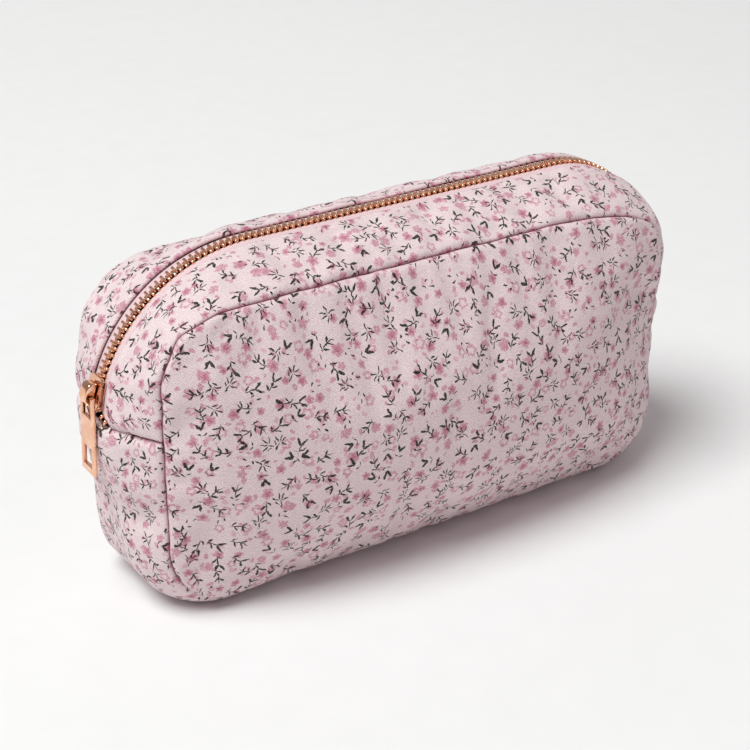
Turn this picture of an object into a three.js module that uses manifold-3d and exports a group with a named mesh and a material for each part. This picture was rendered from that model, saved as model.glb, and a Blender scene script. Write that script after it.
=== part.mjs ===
// A soft padded make-up bag that stands on its base. A rounded front panel and back panel are
// joined by a band: a lower gusset round the ends and base, and a zip between two fabric strips
// over the top. Millimetres: +X along the bag, +Y to the back, +Z up, origin under the middle.
import * as THREE from "three";
import { mergeVertices } from "three/addons/utils/BufferGeometryUtils.js";
import Module from "manifold-3d";

// The two panel seams: the outline that each panel is sewn to, 61 mm apart.
const SEAM_HALF_LENGTH = 112;
const SEAM_BOTTOM = 3;
const SEAM_TOP = 119;
const SEAM_TOP_RADIUS = 26.5;
const SEAM_BOTTOM_RADIUS = 26;
const SEAM_DEPTH = 61;

// The ridge: the line that the band bulges out to, midway between the seams. The zip runs on it,
// and turns down more tightly at its right end than at the end with the slider.
const RIDGE_HALF_LENGTH = 124.5;
const RIDGE_BOTTOM = 0;
const RIDGE_TOP = 130;
const RIDGE_TOP_RADIUS = 65;
const RIDGE_RIGHT_RADIUS = 46;
const RIDGE_BOTTOM_RADIUS = 36;
const RIDGE_SHARPNESS = 1.7;
const BASE_FLAT_HALF_WIDTH = 20;

// The panels bulge most at a point below their middle, because the filling settles.
const PANEL_CROWN = 20;
const PANEL_CROWN_POWER = 2.5;
const CROWN_HEIGHT = 50;

// Depths below the outer surface of each layer, with a gap of 0.3 or more between layers.
const GAP = 0.3;
const FABRIC = [0, 1];
const PADDING = [1.6, 4.6];
const LINING = [5.2, 5.8];
const TAPE = [1.3, 1.8];
const STRIP_LINING = [2.1, 2.7];
const BAND_EDGE_INSET = 1.6;
const INNER_LAYER_INSET = 7;
const GUSSET_LAYER_EDGE = 0.93;

// The zip: its fabric strips stop short of the chain, and its rows part below the slider.
const ZIP_END = 146;
const FOLD_FROM_CENTRE = 6;
const TAPE_INNER = 3.3;
const TAPE_OUTER = 9.5;
const STRIP_LINING_INNER = 6.5;
const ROW_WIDTH = 3;
const ROW_DEPTHS = [0.2, 2.9];
const TOOTH_PITCH = 2.6;
const TOOTH_REACH = 0.6;
const PARTING_START = 132;
const POST_STATION = 139.6;
const PARTING_AT_POST = 1.25;
const PARTING_AT_END = 8;

// The slider, 12 mm long, sits on the round of the left top corner at this angle above level.
const SLIDER_ANGLE = THREE.MathUtils.degToRad(17.5);
const SLIDER_HALF_LENGTH = 6;
const SLIDER_TAIL_HALF_WIDTH = 4.3;
const SLIDER_NOSE_HALF_WIDTH = 5.6;
const SLIDER_RIM = 0.9;
const SLIDER_TAPER_END = 0.8;
const SLIDER_CORNER = 0.15;
const SLIDER_CORNER_CUT = 0.25;
const RIM_NOSE_SETBACK = 1.5;
const RIM_TAIL_SETBACK = 1;
const TOP_PLATE = [-1.2, -0.15];
const BOTTOM_PLATE = [3.5, 4.6];
const TOP_RIM_END = 0.9;
const BOTTOM_RIM_START = 2.9;
const POST_HALF_WIDTH = 0.75;
const POST_FROM_NOSE = [0.6, 2.2];

// The cap is an arch on the slider, and the pull's top bar turns in its hole, nearer the nose.
const CAP_CENTRE = -0.4;
const CAP_HALF_LENGTH = 4.2;
const CAP_HEIGHT = 3.9;
const CAP_SHOULDER = 3.4;
const CAP_WIDTH = 5.2;
const HOLE_CENTRE = -2;
const HOLE_HALF_LENGTH = 1.4;
const HOLE_SHOULDER = 2;
const HOLE_TOP = 2.9;
const HOLE_BOTTOM = 0.25;
const PIVOT_LIFT = 1.55;
const PULL_WIDTH = 10;
const PULL_THICKNESS = 1.5;
const PULL_TOP = 0.8;
const PULL_BOTTOM = -30;
const SLOT_HALF_WIDTH = 3.4;
const SLOT_BOTTOM = -7.4;
const WINDOW_HALF_WIDTH = 3.3;
const WINDOW_TOP = -19.6;
const WINDOW_BOTTOM = -27;
const PULL_BEVEL = 0.25;
const PULL_LEAN = THREE.MathUtils.degToRad(2.5);

const FABRIC_PINK = 0xe3cdd1;
const LINING_PINK = 0xdcb4bd;
const FOAM_WHITE = 0xefece6;
const TAPE_PINK = 0xeed3d6;
const ROSE_GOLD = 0xc98a6a;

const wasm = await Module();
wasm.setup();

const bag = new THREE.Group();

function add(name, geometry, colour, { metal = false, parent = bag } = {}) {
  geometry.computeVertexNormals();
  const roughness = metal ? 0.22 : 0.9;
  const metalness = metal ? 1 : 0;
  const material = new THREE.MeshStandardMaterial({ color: colour, roughness, metalness });
  const mesh = new THREE.Mesh(geometry, material);
  mesh.name = name;
  parent.add(mesh);
  return mesh;
}

// Half an outline in the XZ plane as three runs: along the top, round the top corner down to the
// waist, and from the waist round to the middle of the base.
const TOP_RUN_END = RIDGE_HALF_LENGTH - RIDGE_TOP_RADIUS;
const WAIST = RIDGE_TOP - RIDGE_TOP_RADIUS;

function halfOutline(halfLength, bottom, top, topRadius, bottomRadius) {
  const side = halfLength;
  const topRun = new THREE.Path().moveTo(0, top).lineTo(TOP_RUN_END, top);
  const corner = new THREE.Path().moveTo(TOP_RUN_END, top).lineTo(side - topRadius, top);
  corner.absarc(side - topRadius, top - topRadius, topRadius, Math.PI / 2, 0, true);
  corner.lineTo(side, WAIST);
  const lower = new THREE.Path().moveTo(side, WAIST).lineTo(side, bottom + bottomRadius);
  lower.absarc(side - bottomRadius, bottom + bottomRadius, bottomRadius, 0, -Math.PI / 2, true);
  lower.lineTo(0, bottom);
  return [topRun, corner, lower];
}

const SEAM = halfOutline(
  SEAM_HALF_LENGTH, SEAM_BOTTOM, SEAM_TOP, SEAM_TOP_RADIUS, SEAM_BOTTOM_RADIUS,
);
const [RIDGE_LEFT, RIDGE_RIGHT] = [RIDGE_TOP_RADIUS, RIDGE_RIGHT_RADIUS].map((topRadius) =>
  halfOutline(RIDGE_HALF_LENGTH, RIDGE_BOTTOM, RIDGE_TOP, topRadius, RIDGE_BOTTOM_RADIUS),
);

// A station is a distance along the seam from the middle of the top, negative to the left.
// Each run of the ridge is paired with the same run of the seam.
const RUN_LENGTHS = SEAM.map((run) => run.getLength());
const HALF_LOOP = RUN_LENGTHS[0] + RUN_LENGTHS[1] + RUN_LENGTHS[2];

function wrap(station) {
  return THREE.MathUtils.euclideanModulo(station + HALF_LOOP, 2 * HALF_LOOP) - HALF_LOOP;
}

function outlinePoint(outline, station) {
  const wrapped = wrap(station);
  let left = Math.abs(wrapped);
  let run = 0;
  while (run < 2 && left > RUN_LENGTHS[run]) {
    left -= RUN_LENGTHS[run];
    run += 1;
  }
  const point = outline[run].getPoint(Math.min(left / RUN_LENGTHS[run], 1));
  return new THREE.Vector3(wrapped < 0 ? -point.x : point.x, 0, point.y);
}

function ridgePoint(station) {
  return outlinePoint(wrap(station) < 0 ? RIDGE_LEFT : RIDGE_RIGHT, station);
}

// The band's outer surface at a station and a distance y from the middle. It is crowned over the
// top and ends, and goes over to a flat middle along the base.
const BASE_START = HALF_LOOP - (SEAM_HALF_LENGTH - SEAM_BOTTOM_RADIUS);
const FLAT_START = RUN_LENGTHS[0] + RUN_LENGTHS[1];

function bandSurface(station, y) {
  const fromTop = Math.abs(wrap(station));
  const flat = BASE_FLAT_HALF_WIDTH * THREE.MathUtils.smoothstep(fromTop, FLAT_START, BASE_START);
  const across = THREE.MathUtils.clamp((Math.abs(y) - flat) / (SEAM_DEPTH / 2 - flat), 0, 1);
  const seam = outlinePoint(SEAM, station);
  const point = seam.lerp(ridgePoint(station), 1 - across ** RIDGE_SHARPNESS);
  return new THREE.Vector3(point.x, y, point.z);
}

// A panel's outer surface: ring runs from 0 at the crown to 1 at the seam. Rings near the crown
// are ellipses, and they square up into the seam's outline at the edge.
const CROWN = new THREE.Vector3(0, 0, CROWN_HEIGHT);

function panelSurface(side, station, ring) {
  const spoke = outlinePoint(SEAM, station).sub(CROWN);
  const height = spoke.z > 0 ? SEAM_TOP - CROWN_HEIGHT : CROWN_HEIGHT - SEAM_BOTTOM;
  const toEllipse = 1 / Math.hypot(spoke.x / SEAM_HALF_LENGTH, spoke.z / height);
  const scale = toEllipse * ring * (1 - ring ** 2) + ring ** 3;
  const point = spoke.multiplyScalar(scale).add(CROWN);
  const rise = PANEL_CROWN * (1 - ring ** PANEL_CROWN_POWER);
  return new THREE.Vector3(point.x, side * (SEAM_DEPTH / 2 + rise), point.z);
}

// The ring at which a panel layer ends, to stay a given distance inside the seam.
function edgeRing(station, inset) {
  const spoke = outlinePoint(SEAM, station).sub(CROWN);
  const along = outlinePoint(SEAM, station + 0.5).sub(outlinePoint(SEAM, station - 0.5));
  const outward = new THREE.Vector3(-along.z, 0, along.x).normalize();
  return 1 - inset / Math.abs(spoke.dot(outward));
}

// A point at a depth below a surface given by two parameters, on the side of the bag's middle.
function below(surface, a, b, depth) {
  const step = 0.05;
  const here = surface(a, b);
  const along = surface(a + step, b).sub(surface(a - step, b));
  const across = surface(a, b + step).sub(surface(a, b - step));
  const normal = along.cross(across).normalize();
  const middle = new THREE.Vector3(0, 0, WAIST);
  if (normal.dot(middle.sub(here)) < 0) normal.negate();
  return here.addScaledVector(normal, depth);
}

// Moves every vertex of a geometry by place() and turns its faces outwards.
function reshape(geometry, place) {
  geometry.deleteAttribute("normal");
  geometry.deleteAttribute("uv");
  geometry.clearGroups();
  const merged = mergeVertices(geometry, 1e-4);
  const position = merged.getAttribute("position");
  const point = new THREE.Vector3();
  for (let i = 0; i < position.count; i += 1) {
    const placed = place(point.fromBufferAttribute(position, i));
    position.setXYZ(i, placed.x, placed.y, placed.z);
  }
  return facingOut(merged);
}

function facingOut(geometry) {
  const position = geometry.getAttribute("position");
  const index = geometry.index.array;
  const [a, b, c] = [new THREE.Vector3(), new THREE.Vector3(), new THREE.Vector3()];
  let volume = 0;
  for (let i = 0; i < index.length; i += 3) {
    a.fromBufferAttribute(position, index[i]);
    b.fromBufferAttribute(position, index[i + 1]);
    c.fromBufferAttribute(position, index[i + 2]);
    volume += a.dot(b.cross(c));
  }
  if (volume < 0) {
    for (let i = 0; i < index.length; i += 3) {
      [index[i + 1], index[i + 2]] = [index[i + 2], index[i + 1]];
    }
  }
  return geometry;
}

// A slab with a grid of u by v cells and one cell of thickness, each parameter from 0 to 1.
function slab(uCells, vCells, place) {
  const box = new THREE.BoxGeometry(1, 1, 1, uCells, vCells, 1);
  return reshape(box, (p) => place(p.x + 0.5, p.y + 0.5, p.z + 0.5));
}

const mix = THREE.MathUtils.lerp;

// A piece of the band between two stations. inner and outer are distances from the middle, which
// may change with the station, and side is -1 for the front, +1 for the back.
function bandPiece({ from, to, side, inner, outer, depths, uCells, vCells }) {
  return slab(uCells, vCells, (u, v, w) => {
    const station = mix(from, to, u);
    const y = side * mix(inner(station), outer(station), v);
    return below(bandSurface, station, y, mix(depths[0], depths[1], w));
  });
}

// A panel layer: a flat round disc, stretched to the seam's outline and crowned. Its rings are
// scaled so that one unit is about a millimetre, as a station is.
const RING_SCALE = 100;

function panelPiece(side, depths, inset, segments, rings) {
  const profile = [];
  for (let i = 0; i <= rings; i += 1) {
    profile.push(new THREE.Vector2(i / rings, 0));
  }
  for (let i = rings; i >= 0; i -= 1) {
    profile.push(new THREE.Vector2(i / rings, 1));
  }
  return reshape(new THREE.LatheGeometry(profile, segments), (p) => {
    const station = (Math.atan2(p.x, p.z) / Math.PI) * HALF_LOOP;
    const ring = Math.max(Math.hypot(p.x, p.z) * edgeRing(station, inset), 1e-3);
    const surface = (a, b) => panelSurface(side, a, b / RING_SCALE);
    return below(surface, station, ring * RING_SCALE, mix(depths[0], depths[1], p.y));
  });
}

// How far each zip row has parted from the middle: a little round the slider's post, and then
// widely, to the end of the zip. Only the left end is open.
function parting(station) {
  const along = -station;
  const atPost = THREE.MathUtils.smoothstep(along, PARTING_START, POST_STATION);
  const way = (along - POST_STATION) / (ZIP_END - POST_STATION);
  const splay = THREE.MathUtils.clamp(way, 0, 1) ** 2;
  return PARTING_AT_POST * atPost + (PARTING_AT_END - PARTING_AT_POST) * splay;
}

const SIDES = { front: -1, back: 1 };
const BAND_EDGE = SEAM_DEPTH / 2 - BAND_EDGE_INSET;
const LAYER_EDGE = (SEAM_DEPTH / 2) * GUSSET_LAYER_EDGE;

for (const [name, side] of Object.entries(SIDES)) {
  add(`${name}_panel`, panelPiece(side, FABRIC, 0, 52, 6), FABRIC_PINK);
  add(`${name}_padding`, panelPiece(side, PADDING, INNER_LAYER_INSET, 36, 5), FOAM_WHITE);
  add(`${name}_lining`, panelPiece(side, LINING, INNER_LAYER_INSET, 36, 5), LINING_PINK);
}

// The lower gusset goes from one zip end to the other by way of the base.
function gussetPiece(depths, edge, uCells, vCells) {
  return slab(uCells, vCells, (u, v, w) => {
    const station = mix(ZIP_END + GAP, 2 * HALF_LOOP - ZIP_END - GAP, u);
    return below(bandSurface, station, mix(-edge, edge, v), mix(depths[0], depths[1], w));
  });
}
add("lower_gusset", gussetPiece(FABRIC, BAND_EDGE, 42, 6), FABRIC_PINK);
add("lower_gusset_padding", gussetPiece(PADDING, LAYER_EDGE, 42, 6), FOAM_WHITE);
add("lower_gusset_lining", gussetPiece(LINING, LAYER_EDGE, 42, 6), LINING_PINK);

// Each zip-side strip, its lining, tape and row of teeth run from end to end. They are cut at
// both ends of the top run, where the lips of the mouth start to swing.
const CUT = RUN_LENGTHS[0];
const RUNS = {
  left: [-ZIP_END, -CUT - GAP / 2],
  top: [-CUT + GAP / 2, CUT - GAP / 2],
  right: [CUT + GAP / 2, ZIP_END],
};

function toothRow(from, to, side) {
  const length = ridgeLength(from, to);
  const cells = 2 * Math.round(length / TOOTH_PITCH);
  return slab(cells, 1, (u, v, w) => {
    const station = mix(from, to, u);
    const tooth = Math.round(u * cells) % 2 ? TOOTH_REACH : -TOOTH_REACH;
    const tip = GAP / 2 + 0.05 + side * tooth;
    const y = side * (mix(tip, ROW_WIDTH, v) + parting(station));
    return below(bandSurface, station, y, mix(ROW_DEPTHS[0], ROW_DEPTHS[1], w));
  });
}

function ridgeLength(from, to) {
  const pieces = 60;
  let length = 0;
  for (let i = 0; i < pieces; i += 1) {
    const start = ridgePoint(mix(from, to, i / pieces));
    length += start.distanceTo(ridgePoint(mix(from, to, (i + 1) / pieces)));
  }
  return length;
}

for (const [sideName, side] of Object.entries(SIDES)) {
  for (const [runName, [from, to]] of Object.entries(RUNS)) {
    const uCells = runName === "top" ? 6 : 14;
    const edgeToEdge = { from, to, side, uCells };
    const strip = bandPiece({
      ...edgeToEdge, depths: FABRIC, vCells: 4,
      inner: (s) => FOLD_FROM_CENTRE + parting(s), outer: () => BAND_EDGE,
    });
    const lining = bandPiece({
      ...edgeToEdge, depths: STRIP_LINING, vCells: 3,
      inner: (s) => STRIP_LINING_INNER + parting(s), outer: () => LAYER_EDGE,
    });
    const tape = bandPiece({
      ...edgeToEdge, depths: TAPE, vCells: 1,
      inner: (s) => TAPE_INNER + parting(s), outer: (s) => TAPE_OUTER + parting(s),
    });
    add(`zip_strip_${sideName}_${runName}`, strip, FABRIC_PINK);
    add(`strip_lining_${sideName}_${runName}`, lining, LINING_PINK);
    add(`zip_tape_${sideName}_${runName}`, tape, TAPE_PINK);
    add(`zip_teeth_${sideName}_${runName}`, toothRow(from, to, side), ROSE_GOLD, { metal: true });
  }
}

// The slider's frame: its origin is on the ridge, +X runs up the zip, +Y to the back and +Z
// away from the bag. The ridge is an arc there, so plates and rims are bent to it.
const slider = new THREE.Group();
slider.position.set(
  -TOP_RUN_END - RIDGE_TOP_RADIUS * Math.cos(SLIDER_ANGLE),
  0,
  WAIST + RIDGE_TOP_RADIUS * Math.sin(SLIDER_ANGLE),
);
slider.rotation.y = -(Math.PI / 2 - SLIDER_ANGLE);
bag.add(slider);

function bentBlock(fromX, toX, nearY, farY, depths) {
  return slab(6, 1, (u, v, w) => {
    const x = mix(fromX, toX, u);
    const y = mix(nearY(x), farY(x), v);
    const radius = RIDGE_TOP_RADIUS - mix(depths[0], depths[1], w);
    const turn = x / RIDGE_TOP_RADIUS;
    const lift = radius * Math.cos(turn) - RIDGE_TOP_RADIUS;
    return new THREE.Vector3(radius * Math.sin(turn), y, lift);
  });
}

function asSolid(geometry) {
  return new wasm.Manifold(
    new wasm.Mesh({
      numProp: 3,
      vertProperties: Float32Array.from(geometry.getAttribute("position").array),
      triVerts: Uint32Array.from(geometry.index.array),
    }),
  );
}

function asGeometry(solid) {
  const mesh = solid.getMesh();
  const geometry = new THREE.BufferGeometry();
  geometry.setAttribute("position", new THREE.BufferAttribute(mesh.vertProperties, 3));
  geometry.setIndex(new THREE.BufferAttribute(mesh.triVerts, 1));
  return geometry;
}

// Half the slider's width: full at the nose, which faces the parted rows, and less at the tail.
function sliderHalfWidth(x) {
  const fromNose = (x + SLIDER_HALF_LENGTH) / (2 * SLIDER_HALF_LENGTH);
  const taper = THREE.MathUtils.smoothstep(fromNose, 0, SLIDER_TAPER_END);
  const fromEnd = Math.min(fromNose, 1 - fromNose);
  const corner = 1 - SLIDER_CORNER_CUT * Math.max(0, 1 - fromEnd / SLIDER_CORNER) ** 2;
  return mix(SLIDER_NOSE_HALF_WIDTH, SLIDER_TAIL_HALF_WIDTH, taper) * corner;
}

function sliderBody() {
  const [nose, tail] = [-SLIDER_HALF_LENGTH, SLIDER_HALF_LENGTH];
  const edge = (side) => (x) => side * sliderHalfWidth(x);
  const rim = (side) => (x) => side * (sliderHalfWidth(x) - SLIDER_RIM);
  const rimStart = nose + RIM_NOSE_SETBACK;
  const rimEnd = tail - RIM_TAIL_SETBACK;
  const plateInside = (TOP_PLATE[0] + TOP_PLATE[1]) / 2;
  const bottomInside = (BOTTOM_PLATE[0] + BOTTOM_PLATE[1]) / 2;
  const parts = [
    bentBlock(nose, tail, edge(-1), edge(1), TOP_PLATE),
    bentBlock(nose, tail, edge(-1), edge(1), BOTTOM_PLATE),
  ];
  for (const side of [-1, 1]) {
    const across = [rim(side), edge(side)];
    parts.push(bentBlock(rimStart, rimEnd, ...across, [plateInside, TOP_RIM_END]));
    parts.push(bentBlock(rimStart, rimEnd, ...across, [BOTTOM_RIM_START, bottomInside]));
  }
  const [postStart, postEnd] = POST_FROM_NOSE.map((distance) => nose + distance);
  const postSides = [() => -POST_HALF_WIDTH, () => POST_HALF_WIDTH];
  const post = bentBlock(postStart, postEnd, ...postSides, [plateInside, bottomInside]);
  return asGeometry(parts.reduce((whole, next) => whole.add(asSolid(next)), asSolid(post)));
}
add("slider_body", sliderBody(), ROSE_GOLD, { metal: true, parent: slider });

// The cap is a round-shouldered arch, extruded across the slider.
const arch = new THREE.Shape()
  .moveTo(-CAP_HALF_LENGTH, 0)
  .lineTo(CAP_HALF_LENGTH, 0)
  .bezierCurveTo(CAP_HALF_LENGTH, CAP_SHOULDER, CAP_SHOULDER, CAP_HEIGHT, 0, CAP_HEIGHT)
  .bezierCurveTo(-CAP_SHOULDER, CAP_HEIGHT, -CAP_HALF_LENGTH, CAP_SHOULDER, -CAP_HALF_LENGTH, 0);
const holeMiddle = HOLE_CENTRE - CAP_CENTRE;
const [holeStart, holeEnd] = [holeMiddle - HOLE_HALF_LENGTH, holeMiddle + HOLE_HALF_LENGTH];
arch.holes.push(
  new THREE.Path()
    .moveTo(holeStart, HOLE_BOTTOM)
    .lineTo(holeStart, HOLE_SHOULDER)
    .quadraticCurveTo(holeStart, HOLE_TOP, holeMiddle, HOLE_TOP)
    .quadraticCurveTo(holeEnd, HOLE_TOP, holeEnd, HOLE_SHOULDER)
    .lineTo(holeEnd, HOLE_BOTTOM)
    .closePath(),
);
const capOptions = { depth: CAP_WIDTH, bevelEnabled: false, curveSegments: 8 };
const capGeometry = new THREE.ExtrudeGeometry(arch, capOptions);
capGeometry.translate(0, 0, -CAP_WIDTH / 2).rotateX(Math.PI / 2);
const cap = add("slider_cap", capGeometry, ROSE_GOLD, { metal: true, parent: slider });
cap.position.set(CAP_CENTRE, 0, -TOP_PLATE[0] + GAP);

// The pull is a flat bar with a slot for the cap and a window near its end. Its own frame has
// the pivot at the origin and hangs down; on the bag it leans out to rest on the slider's nose.
function box(halfWidth, bottom, top) {
  return [
    new THREE.Vector2(-halfWidth, bottom),
    new THREE.Vector2(halfWidth, bottom),
    new THREE.Vector2(halfWidth, top),
    new THREE.Vector2(-halfWidth, top),
  ];
}
const pullShape = new THREE.Shape(box(PULL_WIDTH / 2, PULL_BOTTOM, PULL_TOP));
pullShape.holes.push(new THREE.Path(box(SLOT_HALF_WIDTH, SLOT_BOTTOM, -PULL_TOP)));
pullShape.holes.push(new THREE.Path(box(WINDOW_HALF_WIDTH, WINDOW_BOTTOM, WINDOW_TOP)));
const pullDepth = PULL_THICKNESS - 2 * PULL_BEVEL;
const pullGeometry = new THREE.ExtrudeGeometry(pullShape, {
  depth: pullDepth,
  bevelSize: PULL_BEVEL,
  bevelThickness: PULL_BEVEL,
  bevelOffset: -PULL_BEVEL,
  bevelSegments: 1,
});
pullGeometry.translate(0, 0, -pullDepth / 2).rotateX(Math.PI / 2).rotateZ(Math.PI / 2);
const pull = add("zip_pull", pullGeometry, ROSE_GOLD, { metal: true });
slider.updateMatrixWorld();
const pivot = new THREE.Vector3(HOLE_CENTRE, 0, -TOP_PLATE[0] + GAP + PIVOT_LIFT);
pull.position.copy(slider.localToWorld(pivot));
pull.rotation.y = PULL_LEAN;

export default bag;
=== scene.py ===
"""A padded floral makeup bag: sewn and pressed shell, metal zip, slider with a flat bar pull."""
import math

import bmesh
import bpy
import numpy as np
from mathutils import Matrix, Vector, kdtree, noise


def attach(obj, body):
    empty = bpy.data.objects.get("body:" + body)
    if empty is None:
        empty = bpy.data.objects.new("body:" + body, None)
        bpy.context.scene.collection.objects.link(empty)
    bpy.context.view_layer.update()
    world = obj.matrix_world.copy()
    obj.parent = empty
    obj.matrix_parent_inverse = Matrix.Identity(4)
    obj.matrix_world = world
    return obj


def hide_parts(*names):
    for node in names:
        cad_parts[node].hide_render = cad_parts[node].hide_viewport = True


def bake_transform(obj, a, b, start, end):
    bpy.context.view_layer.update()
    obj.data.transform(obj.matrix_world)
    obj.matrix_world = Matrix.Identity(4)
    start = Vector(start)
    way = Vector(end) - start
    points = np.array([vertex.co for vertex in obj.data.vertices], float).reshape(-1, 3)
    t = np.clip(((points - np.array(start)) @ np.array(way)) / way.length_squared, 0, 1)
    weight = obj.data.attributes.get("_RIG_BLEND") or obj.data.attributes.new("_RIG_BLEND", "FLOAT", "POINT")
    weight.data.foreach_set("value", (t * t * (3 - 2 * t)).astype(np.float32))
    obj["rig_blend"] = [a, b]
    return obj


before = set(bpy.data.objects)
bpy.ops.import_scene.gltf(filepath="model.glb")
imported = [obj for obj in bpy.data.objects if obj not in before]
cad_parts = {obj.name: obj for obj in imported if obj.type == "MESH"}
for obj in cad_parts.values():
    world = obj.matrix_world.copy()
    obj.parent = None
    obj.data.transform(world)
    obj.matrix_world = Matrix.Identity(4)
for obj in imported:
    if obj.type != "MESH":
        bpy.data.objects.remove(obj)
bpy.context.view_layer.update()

MM = 0.001

# ---- camera, floor and light

CAMERA_AZIMUTH = math.radians(-33.1)
CAMERA_ELEVATION = math.radians(26.9)
CAMERA_DISTANCE = 0.712
CAMERA_TARGET = Vector((-0.0045, 0.0, 0.0586))
CAMERA_LENS = 87.8


def aim(obj, place, target):
    obj.location = place
    obj.rotation_euler = (Vector(target) - Vector(place)).to_track_quat("-Z", "Y").to_euler()


def make_camera():
    data = bpy.data.cameras.new("camera")
    data.lens = CAMERA_LENS
    data.sensor_width = 36
    data.clip_start = 0.01
    camera = bpy.data.objects.new("camera", data)
    bpy.context.scene.collection.objects.link(camera)
    flat = math.cos(CAMERA_ELEVATION)
    back = Vector((
        math.sin(CAMERA_AZIMUTH) * flat,
        -math.cos(CAMERA_AZIMUTH) * flat,
        math.sin(CAMERA_ELEVATION),
    ))
    aim(camera, CAMERA_TARGET + back * CAMERA_DISTANCE, CAMERA_TARGET)
    bpy.context.scene.camera = camera


def make_light(name, place, size, power, colour):
    data = bpy.data.lights.new(name, "AREA")
    data.shape = "DISK"
    data.size = size
    data.energy = power
    data.color = colour
    light = bpy.data.objects.new(name, data)
    bpy.context.scene.collection.objects.link(light)
    aim(light, place, (0, 0, 0.05))


def make_studio():
    make_light("key", (-1.6, -0.16, 3.3), 2.2, 130.0, (0.955, 1.0, 0.975))
    make_light("fill", (1.1, -2.2, 0.9), 1.2, 3.0, (1.0, 0.74, 0.8))
    make_light("back_card", (1.0, 1.55, 0.95), 1.0, 2.0, (1.0, 0.98, 0.95))
    world = bpy.data.worlds.new("studio")
    world.use_nodes = True
    background = world.node_tree.nodes["Background"]
    background.inputs["Color"].default_value = (1.0, 0.94, 0.945, 1)
    background.inputs["Strength"].default_value = 0.30
    bpy.context.scene.world = world
    bpy.context.scene.view_settings.view_transform = "Standard"


# ---- shape of the stuffed bag, mm

SEAM_HALF_LENGTH, SEAM_BOTTOM, SEAM_TOP = 112.0, 3.0, 119.0
SEAM_TOP_RADIUS, SEAM_BOTTOM_RADIUS = 26.5, 26.0
SEAM_Y = 30.5
RIDGE_HALF_LENGTH, RIDGE_BOTTOM, RIDGE_TOP = 124.5, 0.0, 130.0
RIDGE_TOP_RADIUS, RIDGE_RIGHT_RADIUS, RIDGE_BOTTOM_RADIUS = 65.0, 46.0, 36.0
RIDGE_SHARPNESS = 1.7
BASE_FLAT_HALF_WIDTH = 20.0
PANEL_CROWN, PANEL_CROWN_POWER, CROWN_HEIGHT = 20.0, 2.5, 50.0
TOP_RUN_END = RIDGE_HALF_LENGTH - RIDGE_TOP_RADIUS
WAIST = RIDGE_TOP - RIDGE_TOP_RADIUS

ZIP_END_COLUMN = 39
FOLD = 6.0
PARTING_START, POST_STATION, ZIP_END = 132.0, 139.6, 146.0
PARTING_AT_POST, PARTING_AT_END = 1.25, 8.0


def smoothstep(value, low, high):
    t = np.clip((np.asarray(value, float) - low) / (high - low), 0, 1)
    return t * t * (3 - 2 * t)


def bell(value, middle, spread):
    return np.exp(-((value - middle) / spread) ** 2)


def arc(centre_x, centre_z, radius, start, end):
    angle = np.radians(np.linspace(start, end, 80))
    return np.column_stack([centre_x + radius * np.cos(angle), centre_z + radius * np.sin(angle)])


def half_outline(half_length, bottom, top, top_radius, bottom_radius):
    """Three runs of points: along the top, round the top corner to the waist, and to the base."""
    upper = arc(half_length - top_radius, top - top_radius, top_radius, 90, 0)
    under = arc(half_length - bottom_radius, bottom + bottom_radius, bottom_radius, 0, -90)
    return [
        np.array([[0, top], [TOP_RUN_END, top]]),
        np.vstack([[[TOP_RUN_END, top]], upper, [[half_length, WAIST]]]),
        np.vstack([[[half_length, WAIST]], under, [[0, bottom]]]),
    ]


def distances(points):
    steps = np.linalg.norm(np.diff(points, axis=0), axis=1)
    return np.concatenate([[0], np.cumsum(steps)])


SEAM = half_outline(SEAM_HALF_LENGTH, SEAM_BOTTOM, SEAM_TOP, SEAM_TOP_RADIUS, SEAM_BOTTOM_RADIUS)
RIDGE_LEFT, RIDGE_RIGHT = [
    half_outline(RIDGE_HALF_LENGTH, RIDGE_BOTTOM, RIDGE_TOP, top_radius, RIDGE_BOTTOM_RADIUS)
    for top_radius in (RIDGE_TOP_RADIUS, RIDGE_RIGHT_RADIUS)
]
RUN_ENDS = np.cumsum([distances(run)[-1] for run in SEAM])
HALF_LOOP = RUN_ENDS[-1]


def outline_points(outline, station):
    """Points (x, z) at distances along the seam from the middle of the top, negative to the left."""
    station = np.atleast_1d(np.asarray(station, float))
    wrapped = (station + HALF_LOOP) % (2 * HALF_LOOP) - HALF_LOOP
    far = np.abs(wrapped)
    found = np.zeros((len(station), 2))
    start = 0.0
    for run, end in zip(outline, RUN_ENDS):
        here = (far >= start) & (far <= end)
        along = distances(run)
        way = (far[here] - start) / (end - start) * along[-1]
        found[here, 0] = np.interp(way, along, run[:, 0])
        found[here, 1] = np.interp(way, along, run[:, 1])
        start = end
    found[:, 0] *= np.where(wrapped < 0, -1, 1)
    return found


def band_surface(station, y):
    """The outer surface over the top, ends and base, at a station and a distance y from the middle."""
    station, y = np.broadcast_arrays(np.asarray(station, float), np.asarray(y, float))
    far = np.abs((station + HALF_LOOP) % (2 * HALF_LOOP) - HALF_LOOP)
    base_start = HALF_LOOP - (SEAM_HALF_LENGTH - SEAM_BOTTOM_RADIUS)
    flat = BASE_FLAT_HALF_WIDTH * smoothstep(far, RUN_ENDS[1], base_start)
    across = np.clip((np.abs(y) - flat) / (SEAM_Y - flat), 0, 1)
    share = (1 - across ** RIDGE_SHARPNESS)[:, None]
    seam = outline_points(SEAM, station)
    left, right = outline_points(RIDGE_LEFT, station), outline_points(RIDGE_RIGHT, station)
    ridge = np.where(seam[:, :1] < 0, left, right)
    point = seam + (ridge - seam) * share
    return np.column_stack([point[:, 0], y, point[:, 1]])


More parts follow.
